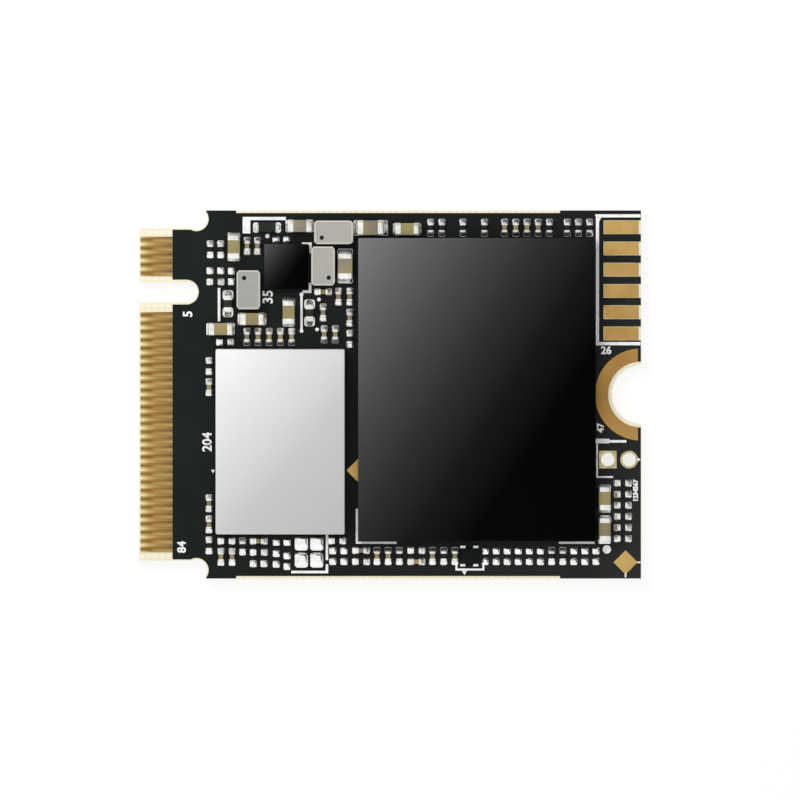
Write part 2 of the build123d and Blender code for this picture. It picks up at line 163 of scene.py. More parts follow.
def clouded(name, roughness, size, detail, stops, relief=None, **values):
    """A finish whose tone wavers in clouds of this size. Its relief is the size and height of its bumps."""
    material, tree, shader, place = finish(name, roughness, **values)
    tree.links.new(clouds(tree, place, size, detail, stops), shader.inputs["Base Color"])
    if relief:
        grain(tree, shader, place, *relief)
    return material


def solder_mask_on_laminate():
    """Black solder mask over glass-fibre laminate. The mask is satin black, a little greyer towards the
    screw, and the laminate shows cream where the mask is drawn back, with the weave of its cloth
    faintly in it."""
    material, tree, shader, place = finish("solder_mask_on_laminate", 0.48, specular=0.08)
    axes = node(tree, "SeparateXYZ", links={"Vector": place}).outputs
    over = node(tree, "Math", {1: (BOARD_TOP - MASK_FILM / 2) * MM}, {0: axes["Z"]}, operation="GREATER_THAN")
    under = node(tree, "Math", {1: MASK_FILM / 2 * MM}, {0: axes["Z"]}, operation="LESS_THAN")
    masked = node(tree, "Math", links={0: over.outputs[0], 1: under.outputs[0]}, operation="ADD",
                  use_clamp=True)
    ground = diagonal(tree, place, (-13.0, 4.0), (28.0, -13.0),
                      [(0.0, "1d2220"), (0.5, "1d201f"), (1.0, "2b2c2c")])
    mask = clouds(tree, place, 2.6, 4.0, [(0.3, "e2e2e2"), (0.7, "ffffff")], ground)
    # The cloth's threads are about 0.4 mm apart.
    warp, weft = (node(tree, "TexWave", {"Scale": bands(0.395), "Distortion": 1.5}, {"Vector": place},
                       bands_direction=axis).outputs["Fac"] for axis in "XY")
    weave = node(tree, "Math", links={0: warp, 1: weft}, operation="MULTIPLY")
    edge = node(tree, "ValToRGB", links={"Fac": weave.outputs[0]}, stops=[(0.0, "f4edd0"), (1.0, "fff8e0")])
    # Between the contacts the cream darkens away from the tip.
    along = node(tree, "MapRange", {"From Min": TIP * MM, "From Max": ROOT * MM}, {"Value": axes["X"]})
    bare = node(tree, "ValToRGB", links={"Fac": along.outputs["Result"]},
                stops=[(0.0, "faedc2"), (0.1, "f0dda4"), (0.21, "d6bb7e"), (0.32, "c9aa6b"), (0.53, "b0925a"),
                       (0.84, "a38453"), (0.95, "8f7750"), (1.0, "b08c52")])
    on_tongue = node(tree, "Math", {1: (ROOT + 0.02) * MM}, {0: axes["X"]}, operation="LESS_THAN")
    rows = node(tree, "Math", {1: 0.0, 2: OUTERMOST * MM}, {0: axes["Y"]}, operation="COMPARE")
    by_key = node(tree, "Math", {1: GAP_MIDDLE * MM, 2: GAP_HALF * MM}, {0: axes["Y"]}, operation="COMPARE")
    contacts = node(tree, "Math", links={0: rows.outputs[0], 1: by_key.outputs[0]}, operation="SUBTRACT")
    among = node(tree, "Math", links={0: on_tongue.outputs[0], 1: contacts.outputs[0]}, operation="MULTIPLY")
    laminate = node(tree, "Mix", links={"Factor": among.outputs[0], "A": edge.outputs[0],
                                        "B": bare.outputs[0]}, data_type="RGBA")
    mixed = node(tree, "Mix", links={"Factor": masked.outputs[0], "A": laminate.outputs["Result"], "B": mask},
                 data_type="RGBA")
    tree.links.new(mixed.outputs["Result"], shader.inputs["Base Color"])
    grain(tree, shader, place, 0.35, 0.004)
    return material


def hard_gold():
    """Hard gold plate on the edge contacts. Near the tip each one is browner along its middle and paler at
    its edges. Behind that it is ochre, with a painted highlight along one side of each contact and painted
    shade along the other, and fine rub marks along X."""
    material, tree, shader, place = finish("hard_gold_plate", 0.34, metallic=1.0)
    axes = node(tree, "SeparateXYZ", links={"Vector": place}).outputs
    along = node(tree, "MapRange", {"From Min": TIP * MM, "From Max": (ROOT - 0.1) * MM},
                 {"Value": axes["X"]})
    dark, light = (node(tree, "ValToRGB", links={"Fac": along.outputs["Result"]},
                        stops=list(zip((0.0, 0.17, 0.31, 0.44, 0.58, 0.78, 1.0), tones))).outputs["Color"]
                   for tones in (("94794a", "957235", "926c31", "a07a3c", "9f8048", "987840", "7c6a48"),
                                 ("fdf0c2", "e3cc8c", "d0b172", "c4a468", "be9d5f", "c49f5f", "bba473")))
    # The first wave darkens each contact along its middle near the tip. The second paints a highlight along
    # one side of each contact and shade along the other.
    middle, side = (node(tree, "TexWave", {"Scale": bands(PITCH), "Phase Offset": phase}, {"Vector": place},
                         bands_direction="Y").outputs["Fac"] for phase in (3.02, 1.26))
    behind = node(tree, "MapRange", {"From Min": -14.3 * MM, "From Max": -13.9 * MM}, {"Value": axes["X"]})
    across = node(tree, "Mix", links={"Factor": behind.outputs[0], "A": middle, "B": side})
    ground = node(tree, "Mix", links={"Factor": across.outputs[0], "A": dark, "B": light}, data_type="RGBA")
    length, width = 2.5, 0.22
    streaks = node(tree, "Mapping", {"Scale": (1, length / width, length / width)}, {"Vector": place})
    rubbed = clouds(tree, streaks.outputs[0], length, 2.0, [(0.3, "e4dace"), (0.7, "ffffff")],
                    ground.outputs["Result"])
    tree.links.new(rubbed, shader.inputs["Base Color"])
    grain(tree, shader, place, 0.05, 0.001)
    return material


def immersion_gold():
    """Immersion gold on bare copper pads: thin and satin, paler at the card's corners and browner round
    the screw notch. Faint patches lean to copper."""
    material, tree, shader, place = finish("immersion_gold", 0.38, metallic=1.0)
    ground = diagonal(tree, place, (0, -10.5), (0, 21.0),
                      [(0.0, "cfb06c"), (0.33, "c8a466"), (0.42, "b38b51"), (0.5, "9d7b45"), (0.58, "b18c50"),
                       (0.66, "bb995a"), (1.0, "d1b16e")])
    patched = clouds(tree, place, 1.1, 3.0, [(0.3, "f1e6dc"), (0.7, "ffffff")], ground)
    tree.links.new(patched, shader.inputs["Base Color"])
    grain(tree, shader, place, 0.06, 0.0015)
    return material


def reflowed_solder():
    """Tin-silver solder after reflow: bright, a little warm, with a frosty grain where it froze."""
    material, tree, shader, place = finish("reflowed_solder", 0.25, metallic=1.0)
    frost = node(tree, "TexNoise", {"Scale": per_mm(0.25), "Detail": 3.0}, {"Vector": place}).outputs["Fac"]
    tone = node(tree, "ValToRGB", links={"Fac": frost}, stops=[(0.3, "e4e3dc"), (0.6, "ffffff")])
    rough = node(tree, "MapRange", {"To Min": 0.18, "To Max": 0.34}, {"Value": frost})
    tree.links.new(rough.outputs["Result"], shader.inputs["Roughness"])
    tree.links.new(tone.outputs["Color"], shader.inputs["Base Color"])
    grain(tree, shader, place, 0.06, 0.0012)
    return material


def nickel_lid():
    """Nickel plating on pressed copper, satin and almost white, with painted light across it: its tone falls
    off softly from the upper-left corner to the lower right.
    """
    material, tree, shader, place = finish("nickel_plated_copper", 0.36, metallic=1.0)
    # Painted light: the tone falls off from the lid's upper-left corner to its lower right.
    tone = diagonal(tree, place, (-10.4, 2.7), (10.0, -8.16),
                    [(0.0, "fefefe"), (0.1, "f7f8f8"), (0.32, "e6e6e6"), (0.46, "dbdbdb"), (0.6, "cdcdcd"),
                     (0.93, "c1c1c1")])
    haze = node(tree, "TexNoise", {"Scale": per_mm(1.8), "Detail": 3.0}, {"Vector": place})
    rough = node(tree, "MapRange", {"To Min": 0.3, "To Max": 0.42}, {"Value": haze.outputs["Fac"]})
    tree.links.new(rough.outputs["Result"], shader.inputs["Roughness"])
    tree.links.new(tone, shader.inputs["Base Color"])
    grain(tree, shader, place, 0.05, 0.0006)
    return material


def resistor_glaze():
    """Black glass glaze over white alumina. The glaze is the top of the body, and the alumina shows at
    its foot, seen from the side."""
    material, tree, shader, place = finish("glass_glaze_on_alumina", 0.28, specular=0.25)
    axes = node(tree, "SeparateXYZ", links={"Vector": place}).outputs
    alumina = 0.13
    glazed = node(tree, "Math", {1: (PAD_TOP + alumina) * MM}, {0: axes["Z"]}, operation="GREATER_THAN")
    black = clouds(tree, place, 0.3, 2.0, [(0.3, "08080a"), (0.7, "141417")])
    mixed = node(tree, "Mix", {"A": hex_colour("d8d6d0")}, {"Factor": glazed.outputs[0], "B": black},
                 data_type="RGBA")
    tree.links.new(mixed.outputs["Result"], shader.inputs["Base Color"])
    grain(tree, shader, place, 0.1, 0.002)
    return material


def pressed_iron_powder(name, left, right):
    """Pressed iron powder with an epoxy skin, as inductors have: pale grey and matte, a little granular.
    Its tone shifts slightly from the left coil to the right ones."""
    material, tree, shader, place = finish(name, 0.55, specular=0.2)
    cast = diagonal(tree, place, (-9.2, 5.1), (6.0, 4.0), [(0.0, left), (1.0, right)])
    speckled = clouds(tree, place, 0.3, 5.0, [(0.3, "f8f8f8"), (0.7, "ffffff")], cast)
    tree.links.new(speckled, shader.inputs["Base Color"])
    grain(tree, shader, place, 0.08, 0.002)
    return material


def epoxy_mould(name, corner, run, stops):
    """Black epoxy mould compound, satin from its mould and faintly flecked by its filler. Its face fades
    evenly from grey to black across the package: painted light that falls off from one corner."""
    material, tree, shader, place = finish(name, 0.42, specular=0.03)
    # Painted light: bright at the given corner, falling off to black across the face.
    painted_falloff = diagonal(tree, place, corner, run, stops)
    flecked = clouds(tree, place, 0.12, 2.0, [(0.3, "f6f6f6"), (0.7, "ffffff")], painted_falloff)
    tree.links.new(flecked, shader.inputs["Base Color"])
    grain(tree, shader, place, 0.09, 0.0015)
    return material


def package_laminate():
    """Package substrate: dark green laminate cut through, with its copper layers as fine lines."""
    material, tree, shader, place = finish("package_laminate", 0.5, specular=0.3)
    layers = node(tree, "TexWave", {"Scale": bands(0.158), "Distortion": 0.4}, {"Vector": place},
                  bands_direction="Z")
    tone = node(tree, "ValToRGB", links={"Fac": layers.outputs["Fac"]},
                stops=[(0.0, "16211b"), (0.7, "22352a"), (1.0, "6b5a35")])
    tree.links.new(tone.outputs["Color"], shader.inputs["Base Color"])
    return material


board_finish = solder_mask_on_laminate()
contact_gold = hard_gold()
pad_gold = immersion_gold()
# Gold flashed so thinly that the nickel shows through: cream to olive, on the header's rings. Along
# the edges of the programming pads the same pale tone is a painted highlight.
pale_gold_and_rim_highlight = clouded("thin_gold_and_painted_rim_highlight", 0.34, 0.5, 2.0, [(0.35, "aca176"), (0.65, "d0c497")],
                    (0.06, 0.0015), metallic=1.0)
solder = reflowed_solder()
# Matte tin plate on the ends of the chips: warm white and soft, with no clear reflections
tin = clouded("matte_tin_plate", 0.45, 0.4, 3.0, [(0.3, "e4e2d9"), (0.65, "fffffb")], (0.07, 0.0015),
              metallic=1.0)
# Sintered capacitor ceramic: a dull tan block whose batches lean to olive or to grey
ceramic = clouded("sintered_ceramic", 0.55, 3.5, 0.0,
                  [(0.34, "857a6a"), (0.45, "938a62"), (0.52, "9c9060"), (0.6, "a39369"), (0.7, "8b8672")],
                  (0.05, 0.002), specular=0.3)
glaze = resistor_glaze()
# Fired ferrite: dark brown-black and dull
ferrite = clouded("fired_ferrite", 0.6, 0.5, 3.0, [(0.3, "24221f"), (0.7, "3a3835")], (0.06, 0.003),
                  specular=0.2)
powder_face = pressed_iron_powder("pressed_iron_powder", "a7a7a3", "b3b1ab")
# The paler tone, on the rims and sides of the inductors, is a painted highlight.
powder_rim_highlight = pressed_iron_powder("painted_rim_highlight_on_powder", "cdcac0", "d2cfc6")
# Black marking ink, flat and thin, with a ragged tone
ink = clouded("marking_ink", 0.7, 0.1, 2.0, [(0.3, "101010"), (0.7, "262625")], specular=0.1)
# White epoxy ink, screen printed: not quite opaque, so its tone wavers where the film is thin
print_white = clouded("white_screen_ink", 0.6, 0.35, 3.0, [(0.3, "e8e8e9"), (0.48, "ffffff")], specular=0.3)
substrate = package_laminate()
lid_metal = nickel_lid()
# The stops paint light on each mould: lighter at its upper-left corner, falling off to darker at its lower
# right.
memory_mould = epoxy_mould("memory_epoxy_mould", (-1.9, 9.35), (13.1, -8.5),
                           [(0.0, "7b7c7c"), (0.2, "626262"), (0.4, "494949"), (0.6, "303030"),
                            (0.8, "171717"), (1.0, "000000")])
power_mould = epoxy_mould("power_epoxy_mould", (-7.5, 9.0), (1.9, -1.45),
                          [(0.0, "565656"), (0.25, "414141"), (0.5, "2b2b2b"), (0.75, "141414"),
                           (1.0, "000000")])
small_mould = epoxy_mould("small_epoxy_mould", (-7.9, 10.3), (18.0, -18.0),
                          [(0.0, "2c312f"), (1.0, "17181a")])
# Sawn silicon: dark grey with a blue cast and a dull shine
silicon = clouded("sawn_silicon", 0.3, 1.5, 2.0, [(0.3, "4a4d55"), (0.7, "5a5e68")], metallic=0.4)
# Thermal paste: pale grey, pasty and dull
paste = clouded("thermal_paste", 0.75, 0.6, 4.0, [(0.3, "a8a8a4"), (0.7, "c4c4c0")], (0.2, 0.01),
                specular=0.2)


# Shaping


def block(name, length, width, height, x, y, z):
    """Adds a block that stands on height z over a point, ready to be shaped."""
    bpy.ops.object.select_all(action="DESELECT")
    bpy.ops.mesh.primitive_cube_add(size=1, location=(x, y, z + height / 2))
    piece = bpy.context.object
    piece.name = name
    piece.data.name = name
    piece.scale = (length, width, height)
    bpy.ops.object.transform_apply(location=True, rotation=True, scale=True)
    return piece


def pick(piece, kind, wanted):
    """Selects in edit mode the vertices, edges or faces of a piece that pass a test."""
    bpy.context.view_layer.objects.active = piece
    bpy.ops.object.mode_set(mode="EDIT")
    bpy.ops.mesh.select_mode(type=kind)
    bpy.ops.mesh.select_all(action="DESELECT")
    mesh = bmesh.from_edit_mesh(piece.data)
    for part in {"VERT": mesh.verts, "EDGE": mesh.edges, "FACE": mesh.faces}[kind]:
        part.select_set(bool(wanted(part)))
    mesh.select_flush_mode()
    bmesh.update_edit_mesh(piece.data)


def upright(edge):
    """An edge that stands on end."""
    a, b = (v.co for v in edge.verts)
    return abs(a.z - b.z) > CLOSE and hypot(a.x - b.x, a.y - b.y) < CLOSE


def facing_up(face):
    return face.normal.z > 0.99


def roof_of(piece):
    """The height of a piece's highest point."""
    return max(v.co.z for v in piece.data.vertices)


def ease(piece, wanted, radius, segments):
    """Rounds the edges of a piece that pass a test."""
    pick(piece, "EDGE", wanted)
    bpy.ops.mesh.bevel(offset=radius, segments=segments, affect="EDGES")
    bpy.ops.object.mode_set(mode="OBJECT")


def round_uprights(piece, radius, segments):
    """Rounds the upright edges of a piece."""
    ease(piece, upright, radius, segments)


def round_roof(piece, radius, segments):
    """Rounds the edges where a piece's roof meets its walls."""
    roof = roof_of(piece)
    ease(piece, lambda edge: all(abs(v.co.z - roof) < CLOSE for v in edge.verts)
         and any(abs(face.normal.z) < 0.5 for face in edge.link_faces), radius, segments)


def sink_roof(piece, rim, slope, depth):
    """Sinks the roof of a piece inside a rim."""
    pick(piece, "FACE", facing_up)
    bpy.ops.mesh.inset(thickness=rim)
    bpy.ops.mesh.inset(thickness=slope)
    bpy.ops.transform.translate(value=(0, 0, -depth))
    bpy.ops.object.mode_set(mode="OBJECT")


def draw_up(piece, levels):
    """Draws the roof of a piece up through levels. Each gives its height and its ends along X and along
    Y, so that a heap can lean."""
    roof = roof_of(piece)
    pick(piece, "FACE", lambda face: facing_up(face) and abs(face.calc_center_median().z - roof) < CLOSE)
    top = [v.co for v in bmesh.from_edit_mesh(piece.data).verts if abs(v.co.z - roof) < CLOSE]
    left, right = min(p.x for p in top), max(p.x for p in top)
    front, back = min(p.y for p in top), max(p.y for p in top)
    for index, (z, x0, x1, y0, y1) in enumerate(levels):
        if index:
            bpy.ops.mesh.extrude_region_move(TRANSFORM_OT_translate={"value": (0, 0, z - roof)})
        bpy.ops.transform.resize(value=((x1 - x0) / (right - left), (y1 - y0) / (back - front), 1),
                                 center_override=((left + right) / 2, (front + back) / 2, z))
        bpy.ops.transform.translate(value=((x0 + x1 - left - right) / 2, (y0 + y1 - front - back) / 2,
                                           0 if index else z - roof))
        left, right, front, back, roof = x0, x1, y0, y1, z
    bpy.ops.object.mode_set(mode="OBJECT")


def heap(name, foot, base, levels, corner):
    """A heap of solder on a rectangular foot with round corners, drawn up through levels."""
    x0, x1, y0, y1 = foot
    piece = block(name, x1 - x0, y1 - y0, levels[0][0] - base, (x0 + x1) / 2, (y0 + y1) / 2, base)
    round_uprights(piece, corner, 3)
    draw_up(piece, levels)
    return piece


def join(pieces):
    """Joins pieces to one."""
    bpy.ops.object.select_all(action="DESELECT")
    for piece in pieces:
        piece.select_set(True)
    bpy.context.view_layer.objects.active = pieces[0]
    if len(pieces) > 1:
        bpy.ops.object.join()
    return pieces[0]


def moved_copy(piece, x, y, turn):
    """Adds a copy with its own mesh, turned about the Z axis and then moved."""
    copy = piece.copy()
    copy.data = piece.data.copy()
    copy.data.transform(Matrix.Translation((x, y, 0)) @ Matrix.Rotation(turn, 4, "Z"))
    bpy.context.collection.objects.link(copy)
    return copy


def mirrored(piece):
    """Joins a piece to its copy turned half round, for a part with two like ends."""
    return join([piece, moved_copy(piece, 0, 0, pi)])


def set_out(model, places):
    """Copies a model to each place and turn, and joins the copies."""
    copies = [moved_copy(model, *place) for place in places]
    name = model.name
    bpy.data.objects.remove(model)
    whole = join(copies)
    whole.name = name
    return whole


def seat(piece, material, slot, *solids, smooth=35):
    """Brings a piece to metres, gives it its finish and lets it ride on the card in place of solids."""
    piece.data.transform(Matrix.Scale(MM, 4))
    bpy.ops.object.select_all(action="DESELECT")
    piece.select_set(True)
    bpy.context.view_layer.objects.active = piece
    bpy.ops.object.shade_smooth_by_angle(angle=radians(smooth))
    if not piece.data.materials:
        piece.data.materials.append(material)
    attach(piece, "root")
    if solids:
        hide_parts(*solids)


def solids_of(name):
    """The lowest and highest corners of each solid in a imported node, in millimetres."""
    mesh = bmesh.new()
    mesh.from_mesh(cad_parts[name].data)
    bmesh.ops.remove_doubles(mesh, verts=mesh.verts, dist=1e-7)
    left = set(mesh.verts)
    found = []
    while left:
        wave = [left.pop()]
        island = list(wave)
        while wave:
            near = {edge.other_vert(v) for v in wave for edge in v.link_edges} & left
            left -= near
            wave = list(near)
            island += wave
        low = Vector([min(v.co[i] for v in island) / MM for i in range(3)])
        high = Vector([max(v.co[i] for v in island) / MM for i in range(3)])
        found.append((low, high))
    mesh.free()
    return sorted(found, key=lambda box: (round(box[0].x, 3), round(box[0].y, 3)))


def middles(name):
    """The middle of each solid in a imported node."""
    return [(low + high) / 2 for low, high in solids_of(name)]


def spots_of(name):
    """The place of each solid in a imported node, without a turn."""
    return [(middle.x, middle.y, 0) for middle in middles(name)]


def places_of(kind):
    """The middle and turn of each part of a kind, from its body to its two nearest ends."""
    ends = middles(kind + "_terminals")
    found = []
    for body in middles(kind + "_bodies"):
        first, second = sorted(ends, key=lambda end: (end.xy - body.xy).length)[:2]
        run = second - first
        found.append((body.x, body.y, pi / 2 if abs(run.y) > abs(run.x) else 0.0))
    return found


def box_of(name):
    """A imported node's sizes, and the middle of its foot, in millimetres."""
    low, high = (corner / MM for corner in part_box(name))
    return (*(high - low), (low.x + high.x) / 2, (low.y + high.y) / 2, low.z)


# Solids that stay as they are: the board, its gold, leads, substrates and what lies hidden


for material, slot, names in (
        (board_finish, "laminate_and_mask", ("circuit_board",)),
        (contact_gold, "hard_gold", ("contact_fingers_top", "contact_fingers_bottom")),
        (pad_gold, "flash_gold", ("mounting_ring_top", "mounting_ring_bottom", "diamond_pads")),
        (pale_gold_and_rim_highlight, "flash_gold", ("header_square_hole", "header_round_hole")),
        (tin, "tin", ("power_chip_contacts", "inductor_terminals", "switch_chip_leads")),
        (substrate, "substrate", ("flash_substrate", "controller_substrate")),
        (silicon, "silicon", ("controller_die",)),
        (paste, "thermal_paste", ("controller_thermal_paste",))):
    for name in names:
        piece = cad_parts[name]
        piece.data.materials.clear()
        piece.data.materials.append(material)


# Packages


def moulded_slab(name, node_name, mould, corner, brim):
    """The memory chip or the power chip: a moulded slab with slightly eased edges."""
    piece = block(name, *box_of(node_name))
    round_uprights(piece, corner, 2)
    round_roof(piece, brim, 2)
    seat(piece, mould, "black_mould", node_name)


def controller_lid():
    """The controller's pressed lid: round corners, a rolled edge and a face a little below its rim."""
    piece = block("pressed_lid", *box_of("controller_lid"))
    sink_roof(piece, 0.2, 0.04, 0.012)
    round_uprights(piece, 0.12, 3)
    round_roof(piece, 0.06, 3)
    seat(piece, lid_metal, "nickel_lid", "controller_lid", smooth=25)


def ball(name, radius, height):
    """A solder ball between a package and the board, flattened where it wets both."""
    neck = 0.8
    bpy.ops.object.select_all(action="DESELECT")
    bpy.ops.mesh.primitive_cylinder_add(vertices=12, radius=neck * radius, depth=height,
                                        location=(0, 0, BOARD_TOP + height / 2))
    piece = bpy.context.object
    piece.name = name
    bpy.ops.object.transform_apply(location=True, rotation=True, scale=True)
    pick(piece, "EDGE", upright)
    bpy.ops.mesh.subdivide(number_cuts=3)
    for level, swell in ((0.25, 1.19), (0.5, 1 / neck), (0.75, 1.19)):
        z = BOARD_TOP + level * height
        pick(piece, "VERT", lambda v: abs(v.co.z - z) < 10 * CLOSE)
        bpy.ops.transform.resize(value=(swell, swell, 1), center_override=(0, 0, z))
    bpy.ops.object.mode_set(mode="OBJECT")
    return piece


def ball_rows():
    """The rows of solder balls near the rims of the two large packages."""
    for node_name, piece_name in (("flash_balls", "memory_ball_rows"),
                                  ("controller_balls", "controller_ball_rows")):
        low, high = solids_of(node_name)[0]
        size = high - low
        rows = set_out(ball(piece_name, max(size.x, size.y) / 2, size.z), spots_of(node_name))
        seat(rows, solder, "solder", node_name, smooth=60)


def switch_package():
    """The small switch chip, its sides drafted for the mould."""
    length, width, height, x, y, z = box_of("switch_chip_body")
    piece = block("switch_mould", length, width, height, 0, 0, z)
    round_uprights(piece, 0.03, 2)
    draw_up(piece, [(z + height, -0.46 * length, 0.46 * length, -0.46 * width, 0.46 * width)])
    round_roof(piece, 0.03, 2)
    seat(set_out(piece, [(x, y, 0)]), small_mould, "black_mould", "switch_chip_body")


def inductor_blocks():
    """Moulded inductors: round corners, a rim round a face a little lower, and one dimple as a mark. The rim
    and sides are painted paler as a highlight.
    """
    dimple_radius = 0.13
    rim = 0.1
    # How far each dimple lies from the middle of its inductor
    dimples = ((-0.71, -0.32), (0.34, -0.70), (-0.255, 0.705))
    blocks = []
    homes = sorted(solids_of("inductor_bodies"), key=lambda box: -(box[0].y + box[1].y))
    for number, ((low, high), (dx, dy)) in enumerate(zip(homes, dimples)):
        size, middle = high - low, (low + high) / 2
        piece = block(f"inductor_{number}", *size, middle.x, middle.y, low.z)
        roof = roof_of(piece)
        round_uprights(piece, 0.24, 5)
        sink_roof(piece, rim, 0.03, 0.025)
        round_roof(piece, 0.05, 3)
        bpy.ops.mesh.primitive_cylinder_add(vertices=24, radius=dimple_radius, depth=0.2,
                                            location=(middle.x + dx, middle.y + dy, roof + 0.03))
        cutter = bpy.context.object
        bpy.context.view_layer.objects.active = piece
        cut = piece.modifiers.new("dimple", "BOOLEAN")
        cut.object = cutter
        cut.operation = "DIFFERENCE"
        bpy.ops.object.modifier_apply(modifier=cut.name)
        bpy.data.objects.remove(cutter)
        for finish_of_face in (powder_rim_highlight, powder_face, ink):
            piece.data.materials.append(finish_of_face)
        spot = Vector((middle.x + dx, middle.y + dy))
        for face in piece.data.polygons:
            if face.center.z > roof - 0.1:
                inside = all(abs(face.center[i] - middle[i]) < size[i] / 2 - rim for i in (0, 1))
                face.material_index = 2 if (face.center.xy - spot).length < dimple_radius else int(inside)
        blocks.append(piece)
    whole = join(blocks)
    whole.name = "inductor_blocks"
    seat(whole, powder_rim_highlight, "grey_mould", "inductor_bodies")


# Soldered parts with two ends


def end_caps(name, kind, radius):
    """The two metal ends of a part, with round outer edges. Gives back the piece, how far out it ends,
    and the length, width and height of one end."""
    low, high = solids_of(kind + "_terminals")[0]
    size, middle = high - low, (low + high) / 2
    x, y, turn = min(places_of(kind), key=lambda place: hypot(place[0] - middle.x, place[1] - middle.y))
    along, across = (size.y, size.x) if turn else (size.x, size.y)
    reach = max(abs(middle.x - x), abs(middle.y - y))
    outer = reach + along / 2

    def round_edge(edge):
        ends = [v.co for v in edge.verts]
        return (all(p.x > outer - CLOSE for p in ends) and any(p.z > low.z + CLOSE for p in ends)
                or all(p.z > high.z - CLOSE for p in ends) and abs(ends[0].y - ends[1].y) < CLOSE)

    piece = block(name, along, across, size.z, reach, 0, low.z)
    ease(piece, round_edge, radius, 3)
    return mirrored(piece), outer, along, across, size.z


def part_bodies(name, kind, span, material, slot, radius):
    """The bodies of a kind of part, eased along their edges, each a little longer than the span between
    its metal ends."""
    low, high = solids_of(kind + "_bodies")[0]
    size = high - low
    # The width is the side that isn't the span.
    width = max((size.x, size.y), key=lambda side: abs(side - span))
    piece = block(name, span + 0.02, width, size.z, 0, 0, low.z)
    ease(piece, lambda edge: all(v.co.z > high.z - CLOSE for v in edge.verts)
         and abs(edge.verts[0].co.y - edge.verts[1].co.y) < CLOSE, radius, 2)
    seat(set_out(piece, places_of(kind)), material, slot, kind + "_bodies")


def small_joint(outer, along, across, height):
    """Solder that covers a small pad and climbs its metal end: flat at the toe, steep at the end."""
    pad_low, pad_high = outer + TOE - PAD, outer + TOE
    levels = []
    for share, pull in ((0.05, 0.1), (0.12, 0.42), (0.24, 0.75), (0.38, 1.0)):
        low = pad_low + (outer - along - 0.02 - pad_low) * pull
        high = pad_high + (outer + 0.02 - pad_high) * pull
        half = PAD / 2 + (across / 2 + 0.02 - PAD / 2) * pull
        levels.append((PAD_TOP + share * height, low, high, -half, half))
    foot = (pad_low, pad_high, -PAD / 2, PAD / 2)
    return mirrored(heap("joint", foot, PAD_TOP - PAD_FILM, levels, PAD_CORNER))


def large_joint(outer, along, across, toe):
    """Solder that climbs the outer face of a large metal end from the toe of its pad, in a round bulge."""
    inner = outer - along / 2
    levels = []
    for rise, pull in ((0.06, 0.12), (0.2, 0.4), (0.45, 0.72), (0.9, 0.97)):
        high = outer + toe * (1 - pull) + 0.015
        half = across / 2 - 0.06 * pull - 0.01
        levels.append((PAD_TOP + rise * toe, inner, high, -half, half))
    half = across / 2 - 0.005
    foot = (inner, outer + toe, -half, half)
    return mirrored(heap("joint", foot, PAD_TOP - PAD_FILM, levels, min(0.8 * toe, 0.18)))


def soldered_parts():
    """Every part with two metal ends: its body, its ends and their solder. Those without a toe of their
    own stand on the small pads."""
    joints = []
    for kind, material, slot, body_round, cap_round, toe in (
            ("small_capacitor", ceramic, "tan_ceramic", 0.02, 0.04, None),
            ("small_resistor", glaze, "black_glaze", 0.02, 0.035, None),
            ("ferrite", ferrite, "black_glaze", 0.03, 0.06, 0.3),
            ("medium_capacitor", ceramic, "tan_ceramic", 0.06, 0.13, 0.1),
            ("large_capacitor", ceramic, "tan_ceramic", 0.06, 0.14, 0.22),
            ("diode", small_mould, "black_mould", 0.06, 0.03, 0.16)):
        caps, outer, along, across, height = end_caps(kind + "_ends", kind, cap_round)
        places = places_of(kind)
        part_bodies(kind + "_blocks", kind, 2 * (outer - along), material, slot, body_round)
        seat(set_out(caps, places), tin, "tin", kind + "_terminals")
        joint = large_joint(outer, along, across, toe) if toe else small_joint(outer, along, across, height)
        joints.append(set_out(joint, places))
    whole = join(joints)
    whole.name = "solder_joints"
    seat(whole, solder, "solder", "solder_fillets", smooth=60)


def soldered_pads():
    """The pads under the soldered parts, with the round corners that etching leaves."""
    for node_name, piece_name, corner in (("small_part_pads", "small_pads", PAD_CORNER),
                                          ("large_part_pads", "large_pads", 0.15)):
        pads = []
        for low, high in solids_of(node_name):
            pad = block(piece_name, *(high - low), (low.x + high.x) / 2, (low.y + high.y) / 2, low.z)
            round_uprights(pad, corner, 3)
            pads.append(pad)
        seat(join(pads), tin, "tin", node_name)


# Bare pads


def dome(name, length, width, height, lean):
    """Solder on a bare pad, domed by its own surface tension. Its summit lies off the middle by a share
    of the pad, so that it is gentle on one side and steep on the other."""
    levels = []
    for reach in (0.96, 0.86, 0.7, 0.46, 0.16):
        ends = [side * size / 2 * reach + lean * size * (1 - reach) for size in (length, width)
                for side in (-1, 1)]
        levels.append((BOARD_TOP + height * (1 - reach ** 2), *ends))
    foot = (-length / 2, length / 2, -width / 2, width / 2)
    return heap(name, foot, BOARD_TOP, levels, 0.22 * length)


def bare_pads():
    """The spare pads, thinly tinned, and the four pads for a crystal, with solder standing on them."""
    for node_name, piece_name, height, lean in (("spare_pads", "tinned_pads", 0.11, 0.12),
                                                ("crystal_pads", "crystal_solder", 0.22, 0.18)):
        low, high = solids_of(node_name)[0]
        model = dome(piece_name, high.x - low.x, high.y - low.y, height, lean)
        seat(set_out(model, spots_of(node_name)), solder, "solder", node_name, smooth=60)


